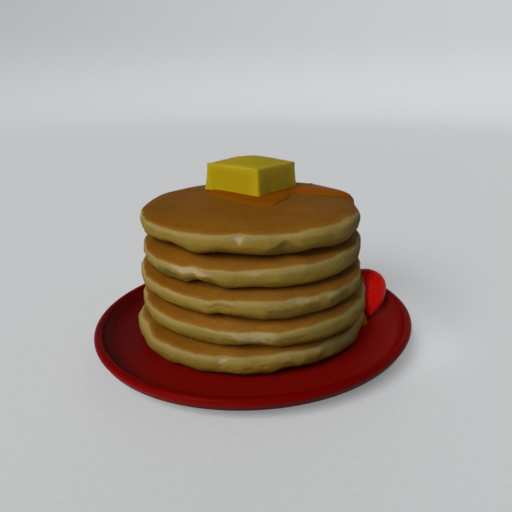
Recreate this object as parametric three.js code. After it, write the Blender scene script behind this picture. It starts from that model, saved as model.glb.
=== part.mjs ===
// A stack of five thick pancakes on a red plate, with a pat of butter on top and a
// strawberry lying beside the stack. Millimetres, +Z up, and the origin lies under the
// middle of the plate, on the surface that the plate stands on.
import * as THREE from "three";
import { ParametricGeometry } from "three/addons/geometries/ParametricGeometry.js";

// Neighbouring pieces keep this gap, so that no two solids touch.
const GAP = 0.3;

// Plate: a shallow dish on a foot ring, with a rounded lip, thrown slightly oval.
const PLATE_RADIUS = 102.8;
const PLATE_OVAL = 0.045;
const PLATE_TURN = THREE.MathUtils.degToRad(52);
const FLOOR_HEIGHT = 8;
const FLOOR_RADIUS = 92;
const LIP_HEIGHT = 14.6;
const LIP_RADIUS = 2.6;
const LIP_OUTER_ANGLE = THREE.MathUtils.degToRad(-30);
const LIP_INNER_ANGLE = THREE.MathUtils.degToRad(150);
const WALL_RUN = 3;
const KNEE_RADIUS = 5;
const KNEE_ANGLE = THREE.MathUtils.degToRad(-95);
const FOOT_RADIUS = 62;
const FOOT_WIDTH = 7;
const FOOT_HEIGHT = 3;
const FOOT_SLOPE = 1.5;
const PLATE_SEGMENTS = 48;

// Pancakes, lowest first: the radius of each, how far its middle lies to the side, and where
// its underside curls up a little. curl is the angle of the middle of that stretch of the
// edge, and spread is half its width, both in degrees.
const PANCAKES = [
  { radius: 71.0, shift: -4.2, curl: -65, spread: 14 },
  { radius: 69.9, shift: -1.2, curl: -90, spread: 17 },
  { radius: 69.2, shift: -3.0, curl: -101, spread: 13 },
  { radius: 67.0, shift: -2.9, curl: -108, spread: 14 },
  { radius: 66.6, shift: -3.3, curl: -94, spread: 27 },
];
const STACK_Y = -5.2;
const PANCAKE_PITCH = 16.9;
const TOP_RIM = 19;
const UNDER_RIM = 9;
const CROWN = 3.2;
const CROWN_LEVEL = 0.35;
const CURL_LIFT = 2.4;
const PANCAKE_SEGMENTS = 48;
const FACE_RINGS = 3;
const RIM_RINGS = 8;

// Each face is slightly wavy: the height of the waves, how far they run in x and y for each
// radian, and how far they are shifted from one layer to the next.
const WAVE_HEIGHT = 0.5;
const WAVE_RUN = [26, 31];
const WAVE_SHIFT = [2.1, 1.3];

// Batter spreads into a circle with a few shallow lobes: their number, their size as a share
// of the radius, and how far they turn from one pancake to the next.
const OUTLINE_WAVES = [
  { lobes: 2, size: 0.009, turn: 1.0 },
  { lobes: 3, size: 0.007, turn: 2.3 },
  { lobes: 5, size: 0.0045, turn: 4.1 },
];

// Butter: a square pat with softened edges, a crowned top and a foot that has begun to melt.
const BUTTER_SIDE = 41;
const BUTTER_HEIGHT = 19.2;
const BUTTER_CENTRE = [-3.4, 19.7];
const BUTTER_TURN = THREE.MathUtils.degToRad(-36.8);
const BUTTER_CROWN = 2.2;
const BUTTER_FLARE = 1.2;
const BUTTER_EDGE = 1.6;
const BUTTER_SQUARENESS = 16;
const BUTTER_SEGMENTS = 32;

// Strawberry: it lies on its side, with its tip towards -Y and down on the plate.
const BERRY_LENGTH = 38;
const BERRY_RADIUS = 12.8;
const BERRY_SHOULDER = 0.68;
const BERRY_FULLNESS = 0.8;
const BERRY_CENTRE = [76.2, 15.5];
const BERRY_LEAN = THREE.MathUtils.degToRad(-27);
const BERRY_TURN = THREE.MathUtils.degToRad(-3);
const BERRY_SEGMENTS = 24;
const BERRY_RINGS = 14;

const FULL_TURN = 2 * Math.PI;

function finish(color, roughness) {
  return new THREE.MeshStandardMaterial({ color, roughness, metalness: 0 });
}

const glaze = finish(0x8a1810, 0.3);
const crumb = finish(0xb98a48, 0.8);
const butterfat = finish(0xe6bd2c, 0.45);
const berrySkin = finish(0xb8140e, 0.35);

// The outline of half a section through the plate, from the middle of its underside round
// the foot ring, the rounded knee, a short straight wall and the lip to the middle of its floor.
function plateSection() {
  const lipX = PLATE_RADIUS - LIP_RADIUS;
  const lipY = LIP_HEIGHT - LIP_RADIUS;
  const outward = [Math.cos(LIP_OUTER_ANGLE), Math.sin(LIP_OUTER_ANGLE)];
  const kneeX = lipX + (LIP_RADIUS - KNEE_RADIUS) * outward[0] + WALL_RUN * outward[1];
  const kneeY = lipY + (LIP_RADIUS - KNEE_RADIUS) * outward[1] - WALL_RUN * outward[0];
  const innerX = lipX + LIP_RADIUS * Math.cos(LIP_INNER_ANGLE);
  const innerY = lipY + LIP_RADIUS * Math.sin(LIP_INNER_ANGLE);
  const innerRun = (innerY - FLOOR_HEIGHT) * Math.tan(LIP_INNER_ANGLE - Math.PI / 2) ** -1;
  const section = new THREE.Path();
  section.moveTo(0, FOOT_HEIGHT);
  section.lineTo(FOOT_RADIUS - FOOT_WIDTH - FOOT_SLOPE, FOOT_HEIGHT);
  section.lineTo(FOOT_RADIUS - FOOT_WIDTH, 0);
  section.lineTo(FOOT_RADIUS, 0);
  section.lineTo(FOOT_RADIUS + FOOT_SLOPE, FOOT_HEIGHT);
  section.absarc(kneeX, kneeY, KNEE_RADIUS, KNEE_ANGLE, LIP_OUTER_ANGLE, false);
  section.absarc(lipX, lipY, LIP_RADIUS, LIP_OUTER_ANGLE, LIP_INNER_ANGLE, false);
  section.quadraticCurveTo(innerX - innerRun, FLOOR_HEIGHT, FLOOR_RADIUS, FLOOR_HEIGHT);
  section.lineTo(0, FLOOR_HEIGHT);
  return section;
}

function makePlate() {
  const geometry = new THREE.LatheGeometry(plateSection().getPoints(5), PLATE_SEGMENTS);
  geometry.rotateX(Math.PI / 2);
  geometry.scale(1 + PLATE_OVAL, 1 - PLATE_OVAL, 1);
  const mesh = new THREE.Mesh(geometry, glaze);
  mesh.name = "plate";
  mesh.rotation.z = PLATE_TURN;
  return mesh;
}

// Height of the surface on which layer number `layer` of the stack lies, at a point: flat on
// the plate, and slightly crowned and wavy above each pancake.
function layerHeight(layer, x, y) {
  if (layer === 0) {
    return FLOOR_HEIGHT;
  }
  const reach = (x * x + (y - STACK_Y) ** 2) / PANCAKES[0].radius ** 2;
  const crown = (CROWN * layer * (CROWN_LEVEL - reach)) / PANCAKES.length;
  const waveX = Math.sin(x / WAVE_RUN[0] + layer * WAVE_SHIFT[0]);
  const waveY = Math.cos(y / WAVE_RUN[1] + layer * WAVE_SHIFT[1]);
  return FLOOR_HEIGHT + layer * PANCAKE_PITCH + crown + WAVE_HEIGHT * waveX * waveY;
}

// Outer radius of a pancake at an angle.
function outlineRadius(index, angle) {
  let share = 1;
  for (const { lobes, size, turn } of OUTLINE_WAVES) {
    share += size * Math.cos(lobes * angle + turn * index);
  }
  return PANCAKES[index].radius * share;
}

// How far the underside curls up at an angle, with a smooth bump of CURL_LIFT millimetres.
function curlLift(index, angle) {
  const offset = THREE.MathUtils.radToDeg(angle) - PANCAKES[index].curl;
  const nearest = offset - 360 * Math.round(offset / 360);
  return CURL_LIFT * Math.exp(-((nearest / PANCAKES[index].spread) ** 2));
}

// A pancake is a disc between two layer heights with a half-elliptic rim. Its rings run from
// the middle of the underside, round the rim, to the middle of the top.
function makePancake(index) {
  const rings = 2 * FACE_RINGS + RIM_RINGS;
  const surface = (u, v, target) => {
    const ring = Math.round(v * rings);
    const angle = u * FULL_TURN;
    const outline = outlineRadius(index, angle);
    const rim = ring < rings / 2 ? UNDER_RIM : TOP_RIM;
    const flat = outline - rim;
    const face = Math.min(ring, rings - ring) / FACE_RINGS;
    const rimShare = THREE.MathUtils.clamp((ring - FACE_RINGS) / RIM_RINGS, 0, 1);
    const rimAngle = (rimShare - 0.5) * Math.PI;
    const radius = face < 1 ? flat * face : flat + rim * Math.cos(rimAngle);
    const x = PANCAKES[index].shift + radius * Math.cos(angle);
    const y = STACK_Y + radius * Math.sin(angle);
    const low = layerHeight(index, x, y) + GAP;
    const high = layerHeight(index + 1, x, y);
    const share = (1 + Math.sin(rimAngle)) / 2;
    const edge = THREE.MathUtils.smoothstep(radius, flat - rim, flat + rim);
    const lift = curlLift(index, angle) * edge * (1 - share);
    target.set(x, y, low + (high - low) * share + lift);
  };
  const geometry = new ParametricGeometry(surface, PANCAKE_SEGMENTS, rings);
  const mesh = new THREE.Mesh(geometry, crumb);
  mesh.name = `pancake_${index + 1}`;
  return mesh;
}

// The pat's rings: how far out each lies, from 0 at the middle to 1 at the side, and its
// height, from 0 at the foot to 1 at the top.
function butterRings() {
  const edge = BUTTER_EDGE / BUTTER_SIDE;
  const edgeHeight = BUTTER_EDGE / BUTTER_HEIGHT;
  return [
    [0, 0],
    [0.5, 0],
    [1 - 2 * edge, 0],
    [1, edgeHeight],
    [1, 0.5],
    [1, 1 - edgeHeight],
    [1 - edge / 2, 1 - edgeHeight / 4],
    [1 - 2 * edge, 1],
    [0.5, 1],
    [0, 1],
  ];
}

// Each ring of the pat is a rounded square. The foot follows the top pancake, and the sides
// flare outwards on the way down.
function makeButter() {
  const rings = butterRings();
  const surface = (u, v, target) => {
    const [out, rise] = rings[Math.round(v * (rings.length - 1))];
    const angle = u * FULL_TURN;
    const across = Math.abs(Math.cos(angle)) ** BUTTER_SQUARENESS;
    const along = Math.abs(Math.sin(angle)) ** BUTTER_SQUARENESS;
    const square = (across + along) ** (-1 / BUTTER_SQUARENESS);
    const half = BUTTER_SIDE / 2 + BUTTER_FLARE * (1 - rise) ** 2;
    const radius = half * square * out;
    const turned = angle + BUTTER_TURN;
    const x = BUTTER_CENTRE[0] + radius * Math.cos(turned);
    const y = BUTTER_CENTRE[1] + radius * Math.sin(turned);
    const foot = layerHeight(PANCAKES.length, x, y) + GAP;
    const crown = BUTTER_CROWN * (1 - out * out) * rise;
    target.set(x, y, foot + (BUTTER_HEIGHT - BUTTER_CROWN) * rise + crown);
  };
  const geometry = new ParametricGeometry(surface, BUTTER_SEGMENTS, rings.length - 1);
  const mesh = new THREE.Mesh(geometry, butterfat);
  mesh.name = "butter";
  return mesh;
}

// Radius of the berry at a share of its length, from its tip at 0 to its leafy end at 1: a
// swelling cone up to the shoulder, and a quarter of an ellipse past it.
function berryRadius(share) {
  const before = Math.min(1, share / BERRY_SHOULDER);
  const past = Math.max(0, share - BERRY_SHOULDER) / (1 - BERRY_SHOULDER);
  return BERRY_RADIUS * Math.sin((Math.PI / 2) * before) ** BERRY_FULLNESS * Math.sqrt(1 - past ** 2);
}

function makeStrawberry() {
  const surface = (u, v, target) => {
    const share = (1 - Math.cos(Math.PI * v)) / 2;
    const angle = u * FULL_TURN;
    const radius = berryRadius(share);
    const along = (share - 0.5) * BERRY_LENGTH;
    target.set(radius * Math.cos(angle), radius * Math.sin(angle), along);
  };
  const geometry = new ParametricGeometry(surface, BERRY_SEGMENTS, BERRY_RINGS);
  geometry.rotateX(-Math.PI / 2 - BERRY_LEAN);
  geometry.rotateZ(BERRY_TURN);
  geometry.computeBoundingBox();
  const mesh = new THREE.Mesh(geometry, berrySkin);
  mesh.name = "strawberry";
  const rest = FLOOR_HEIGHT + GAP - geometry.boundingBox.min.z;
  mesh.position.set(BERRY_CENTRE[0], BERRY_CENTRE[1], rest);
  return mesh;
}

const pancakeStack = new THREE.Group();
pancakeStack.add(makePlate());
for (let index = 0; index < PANCAKES.length; index += 1) {
  pancakeStack.add(makePancake(index));
}
pancakeStack.add(makeButter());
pancakeStack.add(makeStrawberry());

export default pancakeStack;
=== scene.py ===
import math
from functools import partial

import bpy
import numpy as np
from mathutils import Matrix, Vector


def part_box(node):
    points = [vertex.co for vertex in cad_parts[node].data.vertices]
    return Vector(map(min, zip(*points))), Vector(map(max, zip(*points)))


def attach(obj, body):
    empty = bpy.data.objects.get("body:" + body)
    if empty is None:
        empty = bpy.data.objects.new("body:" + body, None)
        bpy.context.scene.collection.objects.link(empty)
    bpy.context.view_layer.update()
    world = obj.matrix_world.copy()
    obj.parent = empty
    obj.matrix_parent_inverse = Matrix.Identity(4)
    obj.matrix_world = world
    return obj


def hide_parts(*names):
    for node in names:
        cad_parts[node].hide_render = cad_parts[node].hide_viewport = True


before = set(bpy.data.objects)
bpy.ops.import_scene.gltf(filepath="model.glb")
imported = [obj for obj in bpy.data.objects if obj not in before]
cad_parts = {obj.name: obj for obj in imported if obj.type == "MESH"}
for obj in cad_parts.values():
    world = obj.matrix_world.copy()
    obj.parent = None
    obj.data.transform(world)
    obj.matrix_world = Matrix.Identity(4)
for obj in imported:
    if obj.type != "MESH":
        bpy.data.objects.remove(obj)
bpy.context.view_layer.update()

# Five thick pancakes on a red stoneware plate, with butter, syrup and a strawberry.
# Every size in this script is in millimetres, and a mesh is turned to metres as it is made.
MM = 0.001
FULL_TURN = 2 * math.pi

# What the solids are worked out from, repeated here for the fine surfaces.
GAP = 0.3
PLATE_OVAL = 0.045
PLATE_TURN = math.radians(52)
FLOOR_EDGE = 10.8
LIP_RADIUS = 2.6
LIP_OUTER_ANGLE = math.radians(-30)
LIP_INNER_ANGLE = math.radians(150)
WALL_RUN = 3
KNEE_RADIUS = 5
KNEE_ANGLE = math.radians(-95)
FOOT_RADIUS = 62
FOOT_WIDTH = 7
FOOT_HEIGHT = 3
FOOT_SLOPE = 1.5
FOOT_CHAMFER = 0.5
TOP_RIM = 19
UNDER_RIM = 9
CROWN = 3.2
CROWN_LEVEL = 0.35
WAVE_HEIGHT = 0.5
WAVE_RUN = (26, 31)
WAVE_SHIFT = (2.1, 1.3)
OUTLINE_WAVES = ((2, 0.009, 1.0), (3, 0.007, 2.3), (5, 0.0045, 4.1))
BUTTER_SIDE = 41
BUTTER_HEIGHT = 20.6
BUTTER_TURN = math.radians(-36.8)
BUTTER_SQUARENESS = 30
BUTTER_FLARE = 1.2
BUTTER_CROWN = 3.6
BERRY_LENGTH = 38
BERRY_RADIUS = 12.8
BERRY_SHOULDER = 0.68
BERRY_FULLNESS = 0.8
BERRY_LEAN = math.radians(-27)
BERRY_TURN = math.radians(-3)


def box_mm(node):
    """Lowest and highest corner of a solid, in millimetres."""
    return np.array([list(corner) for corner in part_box(node)]) / MM


def lobed(index, angle):
    """Share of its radius that a pancake's outline has at an angle: a few shallow lobes."""
    return 1 + sum(size * np.cos(lobes * angle + turn * index) for lobes, size, turn in OUTLINE_WAVES)


def lobed_box(index):
    """Middle and half size of the box round an outline with a radius of 1."""
    angle = np.linspace(0, FULL_TURN, 720)
    outline = np.stack([np.cos(angle), np.sin(angle)]) * lobed(index, angle)
    return (outline.max(axis=1) + outline.min(axis=1)) / 2, np.ptp(outline, axis=1) / 2


# Places that follow from the solids.
PANCAKE_NODES = [f"pancake_{number}" for number in range(1, 6)]
STACK = np.array([box_mm(node) for node in PANCAKE_NODES])
CENTRES = STACK.mean(axis=1)
MIDDLES, HALVES = np.array([lobed_box(index) for index in range(len(STACK))]).transpose(1, 0, 2)
RADII = np.ptp(STACK[:, :, :2], axis=1).mean(axis=1) / 2 / HALVES.mean(axis=1)
CENTRES[:, :2] -= RADII[:, None] * MIDDLES
FLOOR = STACK[0, 0, 2] - GAP
PITCH = (CENTRES[-1, 2] - CENTRES[0, 2]) / (len(STACK) - 1)
LIP_TOP = box_mm("plate")[1][2]


# ---- working out surfaces ----


def smooth_step(low, high, value):
    """0 below `low`, 1 above `high`, and a smooth S between them."""
    share = np.clip((value - low) / (high - low), 0, 1)
    return share * share * (3 - 2 * share)


def bell(value, middle, width):
    """exp(-t^2), where t is the distance from `middle` in units of `width`."""
    return np.exp(-(((value - middle) / width) ** 2))


def unit(vectors):
    """Vectors cut or stretched to a length of 1."""
    return vectors / np.linalg.norm(vectors, axis=-1, keepdims=True)


def round_turn(count):
    """Angles spread evenly round a circle, as one row."""
    return np.linspace(0, FULL_TURN, count, endpoint=False)[None, :]


def turned(points, angle, axis):
    """Points turned by an angle about the x, y or z axis, which is 0, 1 or 2."""
    first, second = (axis + 1) % 3, (axis + 2) % 3
    result = points.copy()
    result[..., first] = points[..., first] * math.cos(angle) - points[..., second] * math.sin(angle)
    result[..., second] = points[..., first] * math.sin(angle) + points[..., second] * math.cos(angle)
    return result


WAVES_ADDED = 7
WAVES_LEVELLED = 2.6


def ripples(points, size, seed, octaves=2):
    """Smooth noise, mostly between -1 and 1: sine waves in random directions, added. `size` is
    the distance between crests, and each further octave has half the size and half the height."""
    rng = np.random.default_rng(seed)
    total = np.zeros(points.shape[:-1])
    for octave in range(octaves):
        for _ in range(WAVES_ADDED):
            direction = rng.normal(size=3)
            direction *= FULL_TURN * 2**octave / size / np.linalg.norm(direction)
            total += 0.5**octave * np.sin(points @ direction + rng.uniform(0, FULL_TURN))
    return total / WAVES_LEVELLED


def on_circle(radius, angle, height):
    """Points from cylindrical coordinates, which are arrays that fit together."""
    x = radius * np.cos(angle)
    y = radius * np.sin(angle)
    return np.stack(np.broadcast_arrays(x, y, height), axis=-1)


def arc(centre, radius, start, end, count):
    """Points along a circle's arc in a flat section."""
    angle = np.linspace(start, end, count)
    return np.stack([centre[0] + radius * np.cos(angle), centre[1] + radius * np.sin(angle)], -1)


def bend(start, control, end, count):
    """Points along a quadratic curve that leaves `start` and reaches `end` facing `control`."""
    share = np.linspace(0, 1, count)[:, None]
    curve = (1 - share) ** 2 * np.array(start) + 2 * share * (1 - share) * np.array(control)
    return curve + share**2 * np.array(end)


def grid_faces(rings, segments, first=0):
    """Faces of a closed surface: rings of points, each joined to the next, and a fan at each end
    to one of the two points that follow the rings. Rings run upwards and turn anticlockwise."""
    ring, step = np.meshgrid(np.arange(rings - 1), np.arange(segments), indexing="ij")
    here = first + ring * segments + step
    beside = first + ring * segments + (step + 1) % segments
    quads = np.stack([here, beside, beside + segments, here + segments], -1).reshape(-1, 4)
    around = np.arange(segments)
    beyond = (around + 1) % segments
    last_ring = first + (rings - 1) * segments
    start = np.full(segments, first + rings * segments)
    fan_down = np.stack([start, first + beyond, first + around], -1)
    fan_up = np.stack([start + 1, last_ring + around, last_ring + beyond], -1)
    return quads.tolist() + fan_down.tolist() + fan_up.tolist()


def closed_shape(rings):
    """Points and faces of one closed surface from its rings, an array of rings by segments by 3.
    The point that closes an end is the middle of the end ring."""
    ends = [rings[0].mean(axis=0), rings[-1].mean(axis=0)]
    points = np.concatenate([rings.reshape(-1, 3), ends])
    return points, grid_faces(rings.shape[0], rings.shape[1])


def joined(shapes):
    """Several (points, faces) as one, with the faces counted on."""
    points = []
    faces = []
    count = 0
    for shape_points, shape_faces in shapes:
        points.append(shape_points)
        faces += [[corner + count for corner in face] for face in shape_faces]
        count += len(shape_points)
    return np.concatenate(points), faces


def add_mesh(name, points, faces, material):
    """A smooth-shaded mesh object at the origin, from points in millimetres."""
    mesh = bpy.data.meshes.new(name)
    mesh.from_pydata((points * MM).tolist(), [], faces)
    mesh.shade_smooth()
    mesh.materials.append(material)
    piece = bpy.data.objects.new(name, mesh)
    bpy.context.scene.collection.objects.link(piece)
    return piece


def write_measure(piece, name, values, *at_ends):
    """Stores one number at each point of a piece for its material to read: those of its rings,
    and then those of the points that close its two ends."""
    attribute = piece.data.attributes.new(name, "FLOAT", "POINT")
    attribute.data.foreach_set("value", np.append(values, at_ends).astype(np.float32))


def hand_over(piece, slot, *nodes):
    """The piece rides on the object's one body and stands for its solids. The slot it is given is not used.
    """
    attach(piece, "root")
    if nodes:
        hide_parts(*nodes)


# ---- materials ----

# Sockets of a Mix node set to colours: the share of the second, the two colours, and the result.
SHARE, UNDER, OVER, MIXED = 0, 6, 7, 2
S_CURVE = "SMOOTHSTEP"


def linear(hex_colour):
    """An sRGB hex colour as the linear red, green, blue and alpha that Blender works in."""
    values = [int(hex_colour[start : start + 2], 16) / 255 for start in (0, 2, 4)]
    return [v / 12.92 if v <= 0.04045 else ((v + 0.055) / 1.055) ** 2.4 for v in values] + [1.0]


def add_node(tree, kind, inputs, output=0, stops=(), **settings):
    """Adds a node, makes its own settings, links the inputs that are given as sockets, sets the
    others, which may be hex colours, and returns one output. `stops` are the places and colours
    of a colour ramp."""
    node = tree.nodes.new("ShaderNode" + kind)
    for name, value in settings.items():
        setattr(node, name, value)
    for key, value in inputs.items():
        if isinstance(value, bpy.types.NodeSocket):
            tree.links.new(value, node.inputs[key])
        else:
            node.inputs[key].default_value = linear(value) if isinstance(value, str) else value
    if stops:
        elements = node.color_ramp.elements
        while len(elements) < len(stops):
            elements.new(1.0)
        for element, (place, colour) in zip(elements, stops):
            element.position = place
            element.color = linear(colour)
    return node.outputs[output]


def new_material(name):
    """An empty material, add_node for its tree, and an Object coordinate socket in metres."""
    material = bpy.data.materials.new(name)
    material.use_nodes = True
    tree = material.node_tree
    tree.nodes.clear()
    add = partial(add_node, tree)
    return material, add, add("TexCoord", {}, "Object")


def close_material(material, finish, scatter=None):
    """Ends a material with one Principled shader. `scatter` is the share of the light that goes
    under the surface, how deep in millimetres, and how far red, green and blue go in it."""
    tree = material.node_tree
    if scatter:
        weight, depth, reach = scatter
        finish["Subsurface Weight"] = weight
        finish["Subsurface Scale"] = depth * MM
        finish["Subsurface Radius"] = reach
    shader = add_node(tree, "BsdfPrincipled", finish)
    surface = tree.nodes.new("ShaderNodeOutputMaterial")
    tree.links.new(shader, surface.inputs["Surface"])
    return material


def per_metre(size):
    """Noise scale for features `size` millimetres across."""
    return 1 / (size * MM)


def clouded(add, place, size, detail, stops, amount=1.0, base=0.0):
    """A colour from a ramp, at `base` plus `amount` times a noise whose clouds are `size`
    millimetres across, and that noise. `base` is a number or a socket."""
    cloud = add("TexNoise", {"Vector": place, "Scale": per_metre(size), "Detail": detail})
    tone = add("Math", {0: cloud, 1: amount, 2: base}, operation="MULTIPLY_ADD")
    return add("ValToRGB", {"Fac": tone}, stops=stops), cloud


def griddled_batter():
    """Pancake batter cooked on a griddle: a browned face that is darker towards the left, gold where it
    thins out at the edge, and a pale, spongy side with fine pores and faint level streaks. The side darkens
    towards its underside, partly where it browned and partly as painted shade, under a painted highlight
    along the brown edge, and its facets and the part turned from the key carry painted highlights and
    painted shade. The lower pancakes' crust is lightened by painted light against the shade above it, and
    painted shade darkens everything towards +x, away from the key. Its blotches are 24 mm across, its
    freckles 2.2, its streaks 3.5 high, its pores 1.7, its crumb 1."""
    material, add, place = new_material("griddled_batter")
    browned, rise, patch, pale = [
        add("Attribute", {}, "Fac", attribute_name=name)
        for name in ("browned", "rise", "tone", "pale")
    ]
    across = add("SeparateXYZ", {"Vector": place}, "X")
    blotches, freckles, grain = [
        add("TexNoise", {"Vector": place, "Scale": per_metre(size), "Detail": detail, "Roughness": rough})
        for size, detail, rough in ((24, 4.0, 0.5), (2.2, 5.0, 0.65), (1.0, 4.0, 0.6))
    ]
    flattened = add("Mapping", {"Vector": place, "Scale": (0.14, 0.14, 1.0)})
    streaks = add("TexNoise", {"Vector": flattened, "Scale": per_metre(3.5), "Detail": 4.0})
    # How much each tint shows: it grows evenly from one value to another, up to its most.
    # The first two shares are painted highlight and painted shade on the side, read from its tone. The
    # third is painted light on the crust of the lower pancakes, against the shade of the pancake above,
    # weaker to the left; the fourth makes the crust darker towards the left; the fifth is painted shade
    # over everything towards +x, away from the key.
    painted_highlight, painted_shade, strip_light_share, darkened, painted_shade_to_right = [
        add("MapRange", {"Value": value, "From Min": start, "From Max": end, "To Max": most})
        for value, start, end, most in (
            (patch, 0.0, 1.0, 0.75),
            (patch, 0.0, -1.0, 0.75),
            (across, -50 * MM, -15 * MM, 0.22),
            (across, -20 * MM, -62 * MM, 0.5),
            (across, 5 * MM, 60 * MM, 0.38),
        )
    ]
    painted_light_on_strips = add("Math", {0: pale, 1: strip_light_share}, operation="MULTIPLY")
    tone = add("Math", {0: blotches, 1: 0.55}, operation="MULTIPLY")
    tone = add("Math", {0: freckles, 1: 0.45, 2: tone}, operation="MULTIPLY_ADD")
    crust = add("ValToRGB", {"Fac": tone}, stops=((0.3, "794B09"), (0.5, "8A560B"), (0.72, "9B6613")))
    # The side's colour by height: darker towards the underside, partly where it browned and partly as
    # painted shade where it turns down, and lightest under the brown edge as a painted highlight along that
    # ridge.
    band = add("Math", {0: streaks, 1: 0.3, 2: rise}, operation="MULTIPLY_ADD")
    crumb_tones = ((0.1, "6E5316"), (0.42, "8B6E23"), (0.74, "937C38"), (0.88, "9D874D"), (1.0, "A99155"))
    colour = add("ValToRGB", {"Fac": band}, stops=crumb_tones)
    uneven = add("Math", {0: freckles, 1: 0.16, 2: -0.08}, operation="MULTIPLY_ADD")
    cooked = add("Math", {0: browned, 1: uneven}, operation="ADD")
    # Gold where it is hardly cooked, then brown: S curves that overlap.
    golden, dark = [
        add("MapRange", {"Value": cooked, "From Min": start, "From Max": end}, interpolation_type=S_CURVE)
        for start, end in ((0.12, 0.5), (0.4, 0.95))
    ]
    # Painted light on the lower pancakes' crust, then a darker crust towards the left.
    for share, over in ((painted_light_on_strips, "A87838"), (darkened, "6C4202")):
        laid_on = {SHARE: share, UNDER: crust, OVER: over}
        crust = add("Mix", laid_on, MIXED, data_type="RGBA")
    # Over the side's colour: painted highlight, painted shade, gold, brown, and painted shade towards +x.
    tints = ((painted_highlight, "BCA986"), (painted_shade, "68521E"), (golden, "906724"), (dark, crust), (painted_shade_to_right, "1E1408"))
    for share, over in tints:
        laid_on = {SHARE: share, UNDER: colour, OVER: over}
        colour = add("Mix", laid_on, MIXED, data_type="RGBA")
    cells = add("TexVoronoi", {"Vector": place, "Scale": per_metre(1.7)}, feature="SMOOTH_F1")
    pores = add("MapRange", {"Value": cells, "From Min": 0.05, "From Max": 0.4})
    open_side = add("Math", {0: 1.0, 1: browned}, operation="SUBTRACT")
    open_pores = add("Math", {0: pores, 1: open_side}, operation="MULTIPLY")
    relief = add("Math", {0: grain, 1: 0.8, 2: open_pores}, operation="MULTIPLY_ADD")
    bump = add("Bump", {"Height": relief, "Strength": 0.35, "Distance": 0.5 * MM})
    finish = {"Base Color": colour, "Roughness": 0.72, "Normal": bump, "Specular IOR Level": 0.08}
    return close_material(material, finish, scatter=(0.15, 2, (1.0, 0.5, 0.2)))


def glazed_stoneware():
    """Stoneware dipped in red glaze and fired: deep red with a soft sheen, and bare where the foot stood in
    the kiln. Painted shade darkens the floor and inner wall at one side, towards -x, and makes the outside
    almost black low down, reaching higher towards +x, both on faces turned from the key. It clouds over 40
    mm and has specks of 1.5 mm."""
    material, add, place = new_material("glazed_stoneware")
    across = add("SeparateXYZ", {"Vector": place}, "X")
    height = add("SeparateXYZ", {"Vector": place}, "Z")
    outside = add("Attribute", {}, "Fac", attribute_name="outside")
    speck = add("TexNoise", {"Vector": place, "Scale": per_metre(1.5), "Detail": 2.0})
    leaning = add("Math", {0: across, 1: -0.06, 2: height}, operation="MULTIPLY_ADD")
    thinness, bare, low_down, below_the_lip = [
        add(
            "MapRange",
            {"Value": value, "From Min": low * MM, "From Max": high * MM, "To Min": most, "To Max": least},
        )
        for value, low, high, most, least in (
            (height, FLOOR + 1, LIP_TOP, 0.0, 1.0),
            (height, 0.2, 0.6, 1.0, 0.0),
            (leaning, 5, 15, 0.9, 0.0),
            (height, LIP_TOP - 7, LIP_TOP - 3, 1.0, 0.0),
        )
    ]
    to_one_side = add(
        "MapRange",
        {"Value": across, "From Min": -48 * MM, "From Max": -90 * MM, "To Max": 0.65},
        interpolation_type=S_CURVE,
    )
    # Painted shade, almost black, low on the outside and reaching higher towards +x, away from the key.
    painted_shade_outside = add("Math", {0: outside, 1: low_down}, operation="MULTIPLY")
    # Painted shade on the floor and inner wall towards -x, which face away from the key.
    painted_shade_inside = add("Math", {0: to_one_side, 1: below_the_lip}, operation="MULTIPLY")
    reds = ((0.1, "820F08"), (0.6, "860D06"), (0.92, "760301"))
    colour, cloud = clouded(add, place, 40, 3.0, reds, 0.35, thinness)
    for share, over in ((painted_shade_outside, "240402"), (painted_shade_inside, "30070A"), (bare, "A78E72")):
        laid_on = {SHARE: share, UNDER: colour, OVER: over}
        colour = add("Mix", laid_on, MIXED, data_type="RGBA")
    roughness = add("MapRange", {"Value": bare, "To Min": 0.42, "To Max": 0.85})
    relief = add("Math", {0: cloud, 1: 6.0, 2: speck}, operation="MULTIPLY_ADD")
    bump = add("Bump", {"Height": relief, "Strength": 0.15, "Distance": 0.25 * MM})
    finish = {"Base Color": colour, "Roughness": roughness, "Normal": bump}
    return close_material(material, finish | {"IOR": 1.25, "Specular IOR Level": 0.08})


def butter_pat():
    """Salted butter cut cold from a block: waxy, rich yellow, paler where it dried along the
    edges, with light scattered below its surface, soft clouds of 14 mm and a knife's smears."""
    material, add, place = new_material("butter_pat")
    dried = add("Attribute", {}, "Fac", attribute_name="edge")
    yellows = ((0.1, "B19709"), (0.45, "BBA30F"), (1.0, "C2AC34"))
    colour, _ = clouded(add, place, 14, 3.0, yellows, 0.4, dried)
    smears = add("TexNoise", {"Vector": place, "Scale": per_metre(2.5), "Detail": 3.0, "Distortion": 0.6})
    bump = add("Bump", {"Height": smears, "Strength": 0.2, "Distance": 0.3 * MM})
    finish = {"Base Color": colour, "Roughness": 0.55, "Normal": bump}
    finish |= {"IOR": 1.3, "Specular IOR Level": 0.2}
    return close_material(material, finish, scatter=(0.12, 2, (1.0, 0.8, 0.25)))


def maple_syrup():
    """Maple syrup poured over warm pancakes and half soaked in: smooth and amber, browner where
    it is thin."""
    material, add, place = new_material("maple_syrup")
    depth = add("Attribute", {}, "Fac", attribute_name="depth")
    ambers = ((0.15, "84540E"), (0.7, "8C500B"), (1.0, "934F05"))
    colour, _ = clouded(add, place, 18, 2.0, ambers, 0.3, depth)
    finish = {"Base Color": colour, "Roughness": 0.34, "IOR": 1.2, "Specular IOR Level": 0.015}
    return close_material(material, finish, scatter=(0.2, 3, (1.0, 0.35, 0.05)))


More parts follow.
